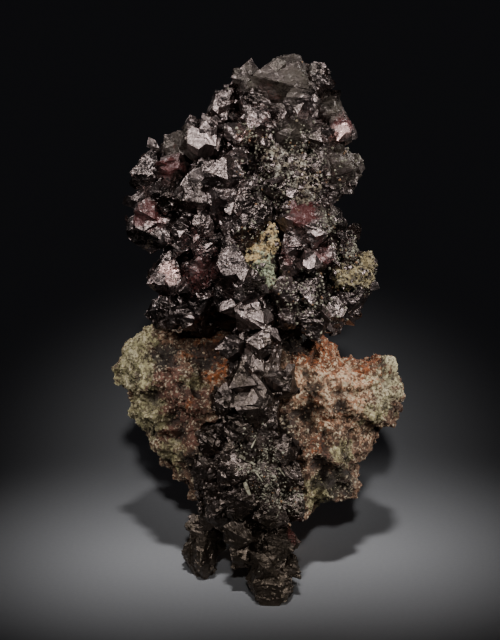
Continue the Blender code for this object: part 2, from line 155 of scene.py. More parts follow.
class Shade:
    """A socket in a material's node tree. Python's operators add Math nodes to it, and
    node() adds any other node."""

    def __init__(self, tree, socket=None):
        self.tree = tree
        self.socket = socket

    def node(self, kind, settings=None, inputs=None, output=0):
        """Adds a node. Its settings come first, because they change its sockets."""
        made = self.tree.nodes.new(kind)
        for name, value in (settings or {}).items():
            if name == "stops":
                stops = made.color_ramp.elements
                for i, (place, colour) in enumerate(value):
                    stop = stops[i] if i < 2 else stops.new(place)
                    stop.position = place
                    stop.color = (*colour, 1)
            else:
                setattr(made, name, value)
        for name, value in (inputs or {}).items():
            if isinstance(value, Shade):
                self.tree.links.new(value.socket, made.inputs[name])
            else:
                made.inputs[name].default_value = value
        return Shade(self.tree, made.outputs[output])

    def maths(self, operation, first, second):
        inputs = {0: first, 1: second}
        return self.node("ShaderNodeMath", {"operation": operation}, inputs)

    def __add__(self, other):
        return self.maths("ADD", self, other)

    def __sub__(self, other):
        return self.maths("SUBTRACT", self, other)

    def __rsub__(self, other):
        return self.maths("SUBTRACT", other, self)

    def __mul__(self, other):
        return self.maths("MULTIPLY", self, other)

    __radd__ = __add__
    __rmul__ = __mul__

    def between(self, low, high):
        """0 below low, 1 above high, and a smooth rise from one to the other."""
        return self.node("ShaderNodeMapRange", {"interpolation_type": "SMOOTHSTEP"},
                         {"Value": self, "From Min": low, "From Max": high})

    def noise(self, size, detail=3.0, roughness=0.55):
        """Cloudy noise whose lumps are about size metres across."""
        place = self.node("ShaderNodeTexCoord", output="Object")
        return self.node("ShaderNodeTexNoise", {}, {
            "Vector": place, "Scale": 1 / size, "Detail": detail, "Roughness": roughness})

    def cells(self, size, output="Distance", metric="EUCLIDEAN"):
        """Grains about size metres across."""
        place = self.node("ShaderNodeTexCoord", output="Object")
        return self.node("ShaderNodeTexVoronoi", {"distance": metric},
                         {"Vector": place, "Scale": 1 / size}, output)

    def lines(self, size, turn):
        """Fine parallel lines about size metres apart, whose direction follows turn."""
        place = self.node("ShaderNodeTexCoord", output="Object")
        turned = self.node("ShaderNodeVectorRotate", {"rotation_type": "AXIS_ANGLE"}, {
            "Vector": place, "Axis": (0.4, 0.5, 0.77), "Angle": turn * 25})
        stretched = self.node("ShaderNodeVectorMath", {"operation": "MULTIPLY"}, {
            0: turned, 1: (1, 1, 8)})
        return self.node("ShaderNodeTexNoise", {}, {
            "Vector": stretched, "Scale": 1 / (8 * size), "Detail": 2.0, "Roughness": 0.6})

    def painted(self, name):
        """The amount of a finish that is painted on the mesh, from 0 to 1."""
        return self.node("ShaderNodeAttribute", {"attribute_name": name}, output="Fac")

    def mixed(self, share, first, second):
        """Two colours mixed by a share. A Mix node's colours are its sockets 6 and 7, and
        the mixed colour is its output 2."""
        return self.node("ShaderNodeMix", {"data_type": "RGBA"},
                         {0: share, 6: colour_of(first), 7: colour_of(second)}, 2)


def colour_of(value):
    """A colour with its alpha, or the Shade that it is."""
    return value if isinstance(value, Shade) else (*value, 1)


def new_material(name):
    """A material, its shader and a Shade that makes nodes for it."""
    material = bpy.data.materials.new(name)
    material.use_nodes = True
    tree = material.node_tree
    return material, tree.nodes["Principled BSDF"], Shade(tree)


def plug(shader, name, value):
    """Sets a socket of the shader to a number, a colour or a link."""
    if isinstance(value, Shade):
        value.tree.links.new(value.socket, shader.inputs[name])
    else:
        shader.inputs[name].default_value = value


# The floor: a plain pale sheet, a little glossy, that runs away into the dark.
FLOOR_SIDE = 8.0

form = bmesh.new()
bmesh.ops.create_grid(form, x_segments=1, y_segments=1, size=FLOOR_SIDE / 2)
floor_mesh = bpy.data.meshes.new("floor")
form.to_mesh(floor_mesh)
form.free()
floor = bpy.data.objects.new("floor", floor_mesh)
bpy.context.scene.collection.objects.link(floor)
material, shader, shade = new_material("pale_floor")
speckle = shade.noise(0.8 * MM, 2.0)
plug(shader, "Base Color", shade.mixed(speckle, (0.50, 0.50, 0.52), (0.58, 0.58, 0.60)))
plug(shader, "Roughness", 0.55)
floor.data.materials.append(material)


# The copper: one intergrown mass of octahedral crystals. It is native copper under a coat
# of tenorite, near black with a purple cast, with red copper oxide and bare copper showing
# in places. Its facets are refined here with growth hillocks and etching.
BLOT_SEED = 11
COPPER_EDGE = 0.78 * MM  # longer edges of the refined mesh are halved
HALVINGS = 5
HILLOCK = 0.40 * MM  # the height of the growth hillocks on the large facets
ETCHING = 0.10 * MM  # how rough the etching leaves a facet
BLUNT_ABOVE = 0.0995  # the highest crystal's tip is blunt above this height, in metres
BLUNTING = 0.75  # the share of the tip's height that is lost

# Where each finish shows on the best face: across, up and reach, in mm, and how strongly.
RED_OXIDE = [(7.6, 73.4, 2.8, 1.0), (15.2, 90.2, 2.2, 1.0), (-21.3, 72.8, 3.0, 0.9),
             (-17.1, 82.3, 2.6, 0.9), (11.6, 65.7, 2.4, 0.8), (-12.0, 67.0, 4.5, 0.55),
             (-11.8, 61.9, 4.0, 0.7), (1.5, 95.5, 2.4, 0.5), (-0.8, 90.4, 2.6, 0.5),
             (6.3, 13.3, 1.8, 0.8), (5.3, 66.0, 2.6, 0.7), (-20.0, 62.0, 4.0, 0.5)]
BARE_COPPER = [(14.6, 88.2, 1.9, 1.0), (-16.9, 62.1, 2.3, 1.0), (-3.6, 88.0, 1.8, 0.9),
               (12.2, 65.2, 1.6, 0.6), (-7.0, 80.6, 2.6, 0.35), (-5.1, 85.7, 1.8, 0.5)]
GREY_COAT = [(-15.6, 86.4, 4.2, 0.8), (4.2, 99.0, 6.0, 0.9), (-2.5, 99.2, 3.0, 0.9),
             (13.5, 92.9, 3.2, 0.9), (5.9, 87.6, 4.4, 0.8), (15.8, 82.8, 5.0, 0.8),
             (12.3, 72.8, 2.0, 0.9), (-13.7, 77.1, 4.0, 0.5), (0.0, 57.0, 5.0, 0.5)]
DULL_AND_SHADE_BELOW, FEET_SHADE_BELOW = 57, 20  # how high the dull coat and its painted shade run, and the darker painted shade of the feet, in mm


def copy_of_node(node, name):
    """A new object with a node's mesh, its loose triangles joined at their corners."""
    form = bmesh.new()
    form.from_mesh(frame["nodes"][node].data)
    bmesh.ops.remove_doubles(form, verts=form.verts, dist=0.001 * MM)
    mesh = bpy.data.meshes.new(name)
    form.to_mesh(mesh)
    form.free()
    thing = bpy.data.objects.new(name, mesh)
    bpy.context.scene.collection.objects.link(thing)
    return thing


def refine(form, longest, halvings):
    """Halves the edges over this length, several times."""
    for _ in range(halvings):
        long_edges = [e for e in form.edges if e.calc_length() > longest]
        bmesh.ops.subdivide_edges(form, edges=long_edges, cuts=1)
        bmesh.ops.triangulate(form, faces=[f for f in form.faces if len(f.verts) > 3])


def copper_relief(place):
    """How far the copper's skin stands out at a place, in metres. Growth hillocks have the
    straight slopes of octahedra."""
    p = place / MM
    near = noise.voronoi(p * 0.36, distance_metric="MANHATTAN")[0]
    small = noise.voronoi(p * 0.8, distance_metric="MANHATTAN")[0][0]
    etched = noise.fractal(p * 1.5, 0.8, 2.2, 2)
    return HILLOCK * (0.8 - near[0]) + 0.35 * HILLOCK * (0.8 - small) + ETCHING * etched


def paint(mesh, name, amounts):
    """Stores an amount for each point of a mesh, for its material to read."""
    layer = mesh.attributes.new(name, "FLOAT", "POINT")
    layer.data.foreach_set("value", np.asarray(amounts, np.float32))


def face_places(points):
    """Where points in the frame lie on the best face: across, back and up, in mm."""
    lean_back = np.array(Matrix.Rotation(-LEAN, 3, "X"))
    return (np.asarray(points) - np.array(FOOT_TIP)) @ lean_back / MM


noise.seed_set(BLOT_SEED)  # noise_vector follows the clock until it has a seed


def blotted(points, spread=1.5):
    """Places on the best face, pushed about so that a round spot becomes a ragged blot."""
    shoves = [noise.noise_vector(Vector(p) / (2.6 * MM)) + 0.5 * noise.noise_vector(Vector(p) / MM)
              for p in points]
    return face_places(points) + spread * np.array(shoves)


def spots(at, places):
    """How strongly each place of the best face is covered by a list of spots."""
    cover = np.zeros(len(at))
    for across, up, reach, strength in places:
        away = np.hypot(at[:, 0] - across, at[:, 2] - up) / reach
        cover = np.maximum(cover, strength * np.clip(1.6 - away, 0, 1))
    return cover


def points_of(mesh):
    """The places of a mesh's points, one to a row."""
    flat = np.zeros(len(mesh.vertices) * 3, np.float32)
    mesh.vertices.foreach_get("co", flat)
    return flat.reshape(-1, 3).astype(float)


copper = copy_of_node("copper_crystals", "tenorite_copper")
form = bmesh.new()
form.from_mesh(copper.data)
refine(form, COPPER_EDGE, HALVINGS)
form.normal_update()
moved = [v.co + v.normal * copper_relief(v.co) for v in form.verts]
for v, co in zip(form.verts, moved):
    over = max(0, co.z - BLUNT_ABOVE)
    v.co = Vector((co.x, co.y, max(co.z - over * BLUNTING, 0)))
form.to_mesh(copper.data)
form.free()
copper.data.shade_flat()


def paint_copper(mesh):
    """Paints where the finishes show. The copper among the rock, and below, is dull, with painted
    shade that darkens it towards its feet.
    """
    at = blotted(points_of(mesh))
    # a dull coat among the rock, and painted shade that grows darker down to the feet
    among_rock = np.clip((DULL_AND_SHADE_BELOW - at[:, 2]) / 12, 0, 1)
    shade_in_the_feet = np.clip((FEET_SHADE_BELOW - at[:, 2]) / 8, 0, 1)
    paint(mesh, "dull", 0.6 * among_rock + 0.4 * shade_in_the_feet)
    paint(mesh, "red", spots(at, RED_OXIDE))
    paint(mesh, "bare", spots(at, BARE_COPPER))
    paint(mesh, "coat", spots(at, GREY_COAT))


paint_copper(copper.data)
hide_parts("copper_crystals")
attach(copper, "root")


def tenorite_finish(name, tone):
    """Tenorite over copper. tone gives each crystal or facet its own shade."""
    material, shader, shade = new_material(name)
    crystal_tone = tone(shade)
    cloud = shade.noise(2.5 * MM, 4.0)
    fine = shade.noise(0.3 * MM, 3.0, 0.65)
    growth_lines = shade.lines(0.4 * MM, crystal_tone)
    hillocks = shade.cells(1.0 * MM, metric="MANHATTAN")
    small_hillocks = shade.cells(0.42 * MM, metric="MANHATTAN")
    dark = shade.mixed(crystal_tone, (0.075, 0.058, 0.054), (0.38, 0.30, 0.285))
    dark = shade.mixed(fine.between(0.5, 0.75) * 0.5, dark, (0.16, 0.125, 0.085))
    dusty = (shade.painted("coat") * 0.6 + cloud * 0.7 + fine * 0.7).between(0.85, 1.4)
    dull = shade.painted("dull")
    dark = shade.mixed(growth_lines.between(0.62, 0.40) * 0.55, dark, (0.05, 0.038, 0.035))
    # painted shade: the copper turns darker and browner down among the rock and to its feet
    dark = shade.mixed(dull * 0.85, dark, (0.080, 0.062, 0.044))
    red = (shade.painted("red") + (cloud - 0.5) * 1.2 + (fine - 0.5) * 1.4).between(0.45, 0.95)
    bare = (shade.painted("bare") + (cloud - 0.5) * 0.8 + (fine - 0.5) * 0.6).between(0.55, 0.85)
    colour = shade.mixed(dusty * 0.75, dark, (0.064, 0.051, 0.034))
    colour = shade.mixed(red * 0.85, colour, (0.085, 0.012, 0.011))
    colour = shade.mixed(bare * 0.8, colour, (0.62, 0.40, 0.36))
    plug(shader, "Base Color", colour)
    plug(shader, "Metallic", 1 - (dusty * 0.7 + red * 0.7).between(0, 1))
    plug(shader, "Roughness", 0.27 + crystal_tone * 0.1 + (dusty + dull) * 0.15 + (fine - 0.5) * 0.4)
    height = (1 - hillocks) * 0.8 + (1 - small_hillocks) * 0.4 + fine * 0.25 + growth_lines * 1.2
    bump = shade.node("ShaderNodeBump", {}, {
        "Strength": 0.6, "Distance": 0.15 * MM, "Height": height})
    plug(shader, "Normal", bump)
    return material


def facet_tone(shade):
    """Each part of the large crystals, a few millimetres across, has a shade of its own."""
    cells = shade.cells(4.5 * MM, "Color")
    return shade.node("ShaderNodeSeparateColor", {}, {"Color": cells})


copper.data.materials.clear()
copper.data.materials.append(tenorite_finish("tenorite", facet_tone))

# The overgrowth: thousands of small crystals on the large ones, of the same copper and with
# the same coat. Those of one neighbourhood share their setting, and many lie flat on the
# facet that they grow on, so that they catch the light with it.
CRYSTAL_SHAPES = 14
OCTAHEDRON = [Vector((a, b, c)).normalized() for a in (-1, 1) for b in (-1, 1) for c in (-1, 1)]
NEIGHBOURHOODS = 260
# Each generation: how many, the smallest and largest half width in mm, how thick a crystal
# is for its width, and the share that lies flat on the facet under it.
GENERATIONS = {"growth_steps": [(420, 1.2, 2.4, 0.32, 1.0), (2600, 0.4, 1.1, 0.24, 1.0)],
               "crystal_overgrowth": [(300, 0.8, 1.4, 0.85, 0.2), (1700, 0.3, 0.75, 0.8, 0.5)],
               "fine_crystals": [(6000, 0.10, 0.30, 0.9, 0.3)],
               "apron_crystals": [(3000, 0.35, 0.9, 0.7, 0.3)]}
BIGGEST_BELOW = 0.9  # the largest half width, in mm, of the crystals among the rock
AMONG_ROCK = 0.038  # how high the copper runs among the rock, in metres
SUNK = 0.7  # how deep a crystal's middle lies in the skin, of its half thickness

rng = random.Random(11)
draw = np.random.default_rng(11)


def crystal_shape():
    """An octahedral crystal of half width 1, with uneven faces and some cut tips."""
    form = bmesh.new()
    bmesh.ops.create_cube(form, size=2.0)
    for v in form.verts:
        v.co *= 1.35
    cuts = [(Vector(axis), rng.choice((1.4, 1.4, rng.uniform(0.7, 1.0))))
            for axis in ((1, 0, 0), (0, 1, 0), (0, 0, 1), (-1, 0, 0), (0, -1, 0), (0, 0, -1))]
    cuts += [(face, rng.uniform(0.62, 0.86)) for face in OCTAHEDRON]
    for face, depth in cuts:
        everything = form.verts[:] + form.edges[:] + form.faces[:]
        cut = bmesh.ops.bisect_plane(form, geom=everything, dist=1e-6, plane_co=face * depth,
                                     plane_no=face, clear_outer=True)
        rim = [e for e in cut["geom_cut"] if isinstance(e, bmesh.types.BMEdge)]
        if rim:
            bmesh.ops.edgeloop_fill(form, edges=rim)
    bmesh.ops.recalc_face_normals(form, faces=form.faces)
    bmesh.ops.triangulate(form, faces=form.faces)
    form.verts.index_update()
    corners = np.array([v.co for v in form.verts])
    triangles = np.array([[v.index for v in f.verts] for f in form.faces])
    form.free()
    return corners, triangles


def skin_of(mesh):
    """The corners of a mesh's triangles, their areas and the ways they face."""
    mesh.calc_loop_triangles()
    index = np.zeros(len(mesh.loop_triangles) * 3, np.int32)
    mesh.loop_triangles.foreach_get("vertices", index)
    corners = points_of(mesh)[index.reshape(-1, 3)]
    across = np.cross(corners[:, 1] - corners[:, 0], corners[:, 2] - corners[:, 0])
    areas = np.linalg.norm(across, axis=1) / 2
    return corners, areas, across / np.maximum(areas * 2, 1e-20)[:, None]


def scattered(mesh, count, weight=None):
    """Points spread evenly over a mesh, with the way that the skin faces at each."""
    corners, areas, facing = skin_of(mesh)
    chance = areas if weight is None else areas * weight(corners.mean(axis=1), facing)
    picked = draw.choice(len(areas), count, p=chance / chance.sum())
    a, b = draw.random((2, count))
    over = a + b > 1
    a, b = np.where(over, 1 - a, a), np.where(over, 1 - b, b)
    tri = corners[picked]
    at = tri[:, 0] + (tri[:, 1] - tri[:, 0]) * a[:, None] + (tri[:, 2] - tri[:, 0]) * b[:, None]
    return at, facing[picked]


def lying_on(facing, along):
    """The turn that lays a crystal's octahedral face on a facet, one edge along a way."""
    up = Vector(facing)
    side = Vector(along).cross(up).normalized()
    front = up.cross(side)
    body_up = Vector((1, 1, 1)).normalized()
    body_side = Vector((1, -1, 0)).normalized()
    body_front = body_up.cross(body_side)
    to_skin = Matrix((side, front, up)).transposed()
    return to_skin @ Matrix((body_side, body_front, body_up))


def any_turn():
    """A turn about a random axis."""
    axis = Vector([rng.gauss(0, 1) for _ in range(3)]).normalized()
    return Matrix.Rotation(rng.uniform(0, math.tau), 3, axis)


def joined_copies(name, shapes, places, turns, sizes, tones):
    """One mesh of many small shapes, each placed, turned and sized, with its own tone."""
    points, triangles, tone = [], [], []
    start = 0
    for i, (at, turn, size) in enumerate(zip(places, turns, sizes)):
        corners, faces = shapes[i % len(shapes)]
        points.append(corners @ np.array(turn).T * size + at)
        triangles.append(faces + start)
        tone.append(np.full(len(corners), tones[i]))
        start += len(corners)
    mesh = bpy.data.meshes.new(name)
    mesh.from_pydata(np.concatenate(points), [], np.concatenate(triangles))
    paint(mesh, "tone", np.concatenate(tone))
    thing = bpy.data.objects.new(name, mesh)
    bpy.context.scene.collection.objects.link(thing)
    return thing


shapes = [crystal_shape() for _ in range(CRYSTAL_SHAPES)]
domain_places, _ = scattered(copper.data, NEIGHBOURHOODS)
domain_turns = [any_turn() for _ in range(NEIGHBOURHOODS)]
# Facets that the overgrowth leaves bare: across, up and reach, in mm, on the best face.
BARE_FACETS = [(-11.2, 86.6, 2.6, 1), (-7.0, 81.5, 3.2, 1), (-3.2, 72.0, 4.6, 0.8),
               (-20.0, 71.0, 3.2, 0.8), (4.2, 98.6, 4.0, 0.8), (-1.4, 38.6, 3.4, 0.9),
               (9.2, 64.0, 2.6, 0.9), (-4.8, 62.0, 3.0, 0.8), (4.0, 58.5, 2.4, 0.8)]


def apron_room(middles, facing):
    """The copper among the rock and below is thick with small crystals all over."""
    return np.clip((AMONG_ROCK * 1.1 - middles[:, 2]) / (8 * MM), 0, 1)


def growing_room(middles, facing):
    """Where the overgrowth is thick or thin over the copper."""
    patchy = np.array([0.5 + 0.9 * noise.noise(Vector(m) / (3.5 * MM)) for m in middles])
    bare = spots(face_places(middles), BARE_FACETS)
    return np.clip(patchy, 0.08, 1) * (1 - 0.93 * np.clip(bare, 0, 1))


tenorite_grown = tenorite_finish("tenorite_grown", lambda shade: shade.painted("tone"))
for name, generations in GENERATIONS.items():
    places, turns, sizes = [], [], []
    for count, smallest, largest, thickness, share_flat in generations:
        room = apron_room if name == "apron_crystals" else growing_room
        at, facing = scattered(copper.data, count, room)
        for place, face in zip(at, facing):
            size = smallest * (largest / smallest) ** (rng.random() ** 1.6) * MM
            if place[2] < AMONG_ROCK:
                size = min(size, BIGGEST_BELOW * MM)
            if place[2] < size * 1.2:
                continue
            near = int(np.argmin(((domain_places - place) ** 2).sum(axis=1)))
            turn = domain_turns[near]
            if rng.random() < share_flat:
                turn = lying_on(face, turn @ Vector((1, 0, 0)))
            flattened = Matrix.Scale(thickness, 3, Vector((1, 1, 1)).normalized())
            wobble = Matrix.Rotation(rng.gauss(0, 0.05), 3, Vector(face).orthogonal())
            places.append(place - face * size * thickness * SUNK)
            turns.append(wobble @ turn @ flattened)
            sizes.append(size)
    piece = joined_copies(name, shapes, places, turns, sizes, draw.random(len(places)))
    paint_copper(piece.data)
    piece.data.materials.append(tenorite_grown)
    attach(piece, "root")


# The crystals that catch the key light: each turns an octahedral face half way between the
# lamp and the camera. Across, up and half width, in mm, on the best face.
LIT_CRYSTALS = [(-11.2, 86.6, 2.7), (-7.0, 81.0, 2.8), (-19.8, 71.6, 2.0), (15.0, 88.6, 1.8),
                (10.6, 87.4, 1.5), (0.0, 81.5, 0.9), (3.6, 78.5, 0.9), (0.2, 86.3, 0.8),
                (-15.0, 69.5, 0.9), (-12.2, 68.6, 0.8), (-9.9, 67.3, 0.8), (10.3, 69.4, 1.2),
                (6.3, 67.6, 1.3), (9.1, 63.8, 1.5), (12.4, 65.4, 1.2), (-3.2, 61.6, 1.8),
                (0.0, 54.0, 1.6), (-1.3, 38.6, 1.8), (-4.9, 94.4, 0.7), (3.0, 101.0, 1.6),
                (-6.0, 74.0, 1.2), (-16.0, 79.0, 1.5), (7.0, 93.0, 1.4), (-6.0, 56.0, 1.5)]
DEPTH_IN = 0.55  # how deep such a crystal stands in its neighbours, of its half width
FACE_WIDTH = 1.25  # its size for a face of that half width

halfway = (TOWARDS_CAMERA + KEY_LIGHT.normalized()).normalized()
form = bmesh.new()
form.from_mesh(copper.data)
copper_skin = BVHTree.FromBMesh(form)
form.free()
places, turns, sizes = [], [], []
for across, up, half_width in LIT_CRYSTALS:
    start = on_face(across, up) + TOWARDS_CAMERA * 0.1
    hit = copper_skin.ray_cast(start, -TOWARDS_CAMERA)[0]
    if hit is None:
        continue
    turn = lying_on(halfway, Vector((rng.uniform(-1, 1), rng.uniform(-1, 1), 1)))
    wobble = Matrix.Rotation(rng.gauss(0, 0.06), 3, any_turn() @ halfway.orthogonal())
    places.append(hit - TOWARDS_CAMERA * half_width * DEPTH_IN * MM)
    turns.append(wobble @ turn)
    sizes.append(half_width * FACE_WIDTH * MM)
lit = joined_copies("lit_crystals", shapes, places, turns, sizes, draw.random(len(places)))
paint_copper(lit.data)
lit.data.materials.append(tenorite_grown)
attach(lit, "root")

# The host rock: one rough wedge of granular rock that the copper grew through and holds,
# rusty and maroon where iron has stained it and pale green where copper has.
ROCK_GRID = 0.42 * MM  # the step of its fine mesh
ROCK_CRAG = 1.2 * MM  # how far crags, nodules and grain stand out of its skin
ROCK_NODULE = 1.3 * MM
ROCK_GRAIN = 0.34 * MM
# Hollows and ledges on the best face: across, up and reach, in mm, and depth in metres.
HOLLOWS = [(-10.0, 46.6, 3.6, 2.2 * MM), (-18.9, 46.6, 2.6, 1.2 * MM), (6.0, 50.2, 4.0, 2.4 * MM),
           (13.0, 22.6, 3.2, 1.6 * MM), (-11.0, 26.0, 3.6, 2.0 * MM), (12.0, 26.0, 2.4, 0.9 * MM),
           (9.0, 33.0, 2.0, 0.9 * MM), (20.0, 44.0, 2.0, -0.5 * MM), (-13.0, 43.4, 2.4, -0.9 * MM)]
# The stains on the rock's best face, and where painted shade and painted highlight lie on it:
# across, up, reach in mm, and strength.
GREEN_STAIN = [(-25.0, 44.0, 4.0, 1.0), (-23.0, 49.0, 4.0, 0.9), (-22.0, 35.5, 4.6, 1.0),
               (-17.0, 28.0, 3.4, 0.7), (24.5, 40.5, 3.4, 0.7), (21.5, 36.0, 3.0, 0.8),
               (11.0, 20.6, 3.6, 1.0), (15.0, 27.8, 2.8, 0.8), (-12.8, 42.6, 2.4, 0.8),
               (24.0, 45.0, 2.4, 0.7)]
RUST_STAIN = [(11.0, 48.0, 5.0, 1.0), (21.4, 43.8, 3.4, 1.0), (-9.0, 46.0, 4.6, 1.0),
              (10.0, 31.0, 3.0, 0.6), (16.0, 48.0, 3.4, 0.8), (12.0, 40.0, 3.0, 0.45),
              (9.5, 37.6, 2.2, 0.6), (13.4, 34.0, 2.4, 0.6), (17.4, 37.6, 1.8, 0.5),
              (-13.0, 37.0, 2.0, 0.5)]
MAROON_STAIN = [(-17.0, 39.0, 6.0, 1.0), (-15.5, 33.0, 5.2, 0.9), (-13.0, 28.0, 3.0, 0.6),
                (12.5, 37.5, 2.6, 0.5), (9.5, 27.5, 3.0, 0.5), (17.0, 31.0, 2.4, 0.4)]
# painted shade: near black in the hollows of the best face
BLACK_HOLLOW_SHADE = [(-18.9, 46.6, 2.8, 0.9), (-11.5, 44.6, 2.6, 0.9), (6.0, 51.0, 4.2, 1.0),
               (14.8, 22.2, 3.0, 1.0), (-11.0, 26.0, 3.8, 0.8), (8.0, 31.0, 2.4, 0.5),
               (4.0, 33.0, 3.4, 0.7), (11.0, 24.4, 2.2, 0.6)]
PINK_BEIGE = [(14.0, 40.0, 7.5, 1.0), (8.0, 42.0, 3.4, 0.8), (18.0, 33.0, 4.0, 0.6),
              (-13.5, 30.0, 2.0, 0.5)]
# pale cream rock at the wings' edges, made brighter there as a painted highlight
CREAM_EDGE_AND_HIGHLIGHT = [(25.0, 44.6, 2.6, 0.9), (24.0, 40.0, 3.2, 0.9), (-26.0, 41.0, 2.4, 0.6),
              (20.5, 43.0, 1.6, 0.7), (16.5, 40.0, 1.6, 0.5), (-24.5, 46.5, 2.0, 0.6)]


def rock_relief(place):
    """How far the rock's skin stands out at a place, in metres."""
    p = place / MM
    crags = 1 - 2 * abs(noise.noise(p * 0.16)) - abs(noise.noise(p * 0.37))
    nodules = (noise.voronoi(p * 0.34, distance_metric="DISTANCE_SQUARED")[0][0]
               + 0.6 * noise.voronoi(p * 0.8, distance_metric="DISTANCE_SQUARED")[0][0])
    grain = noise.noise(p * 2.2) + 0.7 * noise.noise(p * 4.4)
    return ROCK_CRAG * (crags - 0.55) + ROCK_NODULE * (0.45 - nodules) + ROCK_GRAIN * grain


def even_skin(thing, grid):
    """Gives a piece an even mesh of small steps."""
    skin = thing.modifiers.new("even_skin", "REMESH")
    skin.mode = "VOXEL"
    skin.voxel_size = grid
    graph = bpy.context.evaluated_depsgraph_get()
    mesh = bpy.data.meshes.new_from_object(thing.evaluated_get(graph))
    thing.modifiers.clear()
    thing.data = mesh


def carved(form, hollows):
    """How deep the hollows of the best face are at each point of a form, in metres."""
    at = face_places([v.co for v in form.verts])
    deep = np.zeros(len(at))
    for across, up, reach, depth in hollows:
        away = np.hypot(at[:, 0] - across, at[:, 2] - up) / reach
        deep += depth * np.clip(1 - away ** 2, 0, 1)
    front = np.array([v.normal.dot(TOWARDS_CAMERA) for v in form.verts]) > 0.1
    return deep * front


def roughen(thing, grid, relief, hollows=()):
    """Gives a rock piece an even fine mesh, then moves its skin in and out."""
    even_skin(thing, grid)
    mesh = thing.data
    form = bmesh.new()
    form.from_mesh(mesh)
    bmesh.ops.smooth_vert(form, verts=form.verts, factor=0.5, use_axis_x=True,
                          use_axis_y=True, use_axis_z=True)
    form.normal_update()
    points = [v.co.copy() for v in form.verts]
    height = np.array([relief(p) for p in points]) - carved(form, hollows)
    for v, p, h in zip(form.verts, points, height):
        co = p + v.normal * h
        v.co = Vector((co.x, co.y, max(co.z, 0)))
    form.to_mesh(mesh)
    form.free()
    mesh.shade_smooth()
    mesh.set_sharp_from_angle(angle=math.radians(40))
    paint(mesh, "height", height / MM)


rock = copy_of_node("matrix_rock", "host_rock")
roughen(rock, ROCK_GRID, rock_relief, HOLLOWS)
# the real stains, with the black painted shade of the hollows and the cream painted highlight of the
# edges
ROCK_STAINS_AND_LIGHT = {"green": GREEN_STAIN, "rust": RUST_STAIN, "black": BLACK_HOLLOW_SHADE,
               "pink": PINK_BEIGE, "maroon": MAROON_STAIN, "cream": CREAM_EDGE_AND_HIGHLIGHT}


def paint_rock(mesh):
    """Paints where the stains, the painted shade and the painted highlight show. Their edges are
    more ragged than the copper's.
    """
    at = blotted(points_of(mesh), 2.2)
    for name, mark in ROCK_STAINS_AND_LIGHT.items():
        paint(mesh, name, spots(at, mark))


paint_rock(rock.data)
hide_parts("matrix_rock")
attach(rock, "root")


def rock_finish(name, tone=None):
    """Granular rock with its stains, painted shade in its pits and hollows, pale cream rock with
    a painted highlight at its edges, and pale grains all over it. tone makes whole grains lighter or
    darker."""
    material, shader, shade = new_material(name)
    cloud = shade.noise(4.0 * MM, 4.0, 0.65)
    patch = shade.noise(1.3 * MM, 4.0, 0.7)
    fine = shade.noise(0.35 * MM, 3.0, 0.7)
    height = shade.painted("height")
    grains = shade.cells(0.40 * MM, "Color")
    grain = shade.node("ShaderNodeSeparateColor", {}, {"Color": grains})

    # The ragged blot of one mark. The marks are the stains, the painted shade of the hollows and the
    # painted highlight of the edges.
    def marked(mark):
        blot = shade.painted(mark) + (cloud - 0.5) * 1.4 + (patch - 0.5) * 1.6
        return blot.between(0.45, 0.75)

    body = shade.mixed(patch.between(0.35, 0.65), (0.085, 0.040, 0.024), (0.36, 0.20, 0.12))
    body = shade.mixed(marked("pink") * 0.9, body, (0.64, 0.35, 0.20))
    body = shade.mixed(marked("maroon") * 0.9, body, (0.175, 0.068, 0.045))
    body = shade.mixed(marked("rust") * 0.9, body, (0.33, 0.088, 0.020))
    body = shade.mixed(marked("green") * 0.85, body, (0.46, 0.41, 0.21))
    # pale cream rock, with a painted highlight, at the edges of the wings
    body = shade.mixed(marked("cream") * 0.8, body, (0.70, 0.62, 0.38))
    # painted shade: near black in the hollows
    body = shade.mixed(marked("black") * 0.9, body, (0.020, 0.018, 0.014))
    pale_grain = (grain + fine * 0.8 + marked("pink") * 0.2).between(1.15, 1.4)
    body = shade.mixed(pale_grain * 0.7, body, (0.70, 0.58, 0.40))
    body = shade.mixed((grain + fine).between(1.05, 0.7) * 0.7, body, (0.06, 0.030, 0.017))
    # painted shade: the rock goes near black where its skin is sunk below the rest
    body = shade.mixed(height.between(-0.1, -1.4) * 0.9, body, (0.020, 0.011, 0.007))
    if tone is not None:
        body = shade.mixed(tone(shade).between(0.6, 1.0) * 0.4, body, (0.50, 0.40, 0.27))
        body = shade.mixed(tone(shade).between(0.4, 0.0) * 0.6, body, (0.05, 0.02, 0.012))
    plug(shader, "Base Color", body)
    plug(shader, "Roughness", 0.6 + fine * 0.3)
    bump = shade.node("ShaderNodeBump", {}, {
        "Strength": 0.9, "Distance": 0.2 * MM, "Height": fine + grain * 0.5 + patch})
    plug(shader, "Normal", bump)
    return material


rock.data.materials.clear()
rock.data.materials.append(rock_finish("granular_rock"))

# The loose-looking grains that stand out of the rock's skin all over, each a few tenths of
# a millimetre, of the same rock.
ROCK_GRAINS = 6500
GRAIN_SIZES = (0.13, 0.38)  # the smallest and largest half width, in mm


def grain_shape():
    """A rough lump of half width 1 with twenty flat faces."""
    form = bmesh.new()
    bmesh.ops.create_icosphere(form, subdivisions=1, radius=1)
    for v in form.verts:
        v.co *= rng.uniform(0.7, 1.15)
    form.verts.index_update()
    corners = np.array([v.co for v in form.verts])
    triangles = np.array([[v.index for v in f.verts] for f in form.faces])
    form.free()
    return corners, triangles


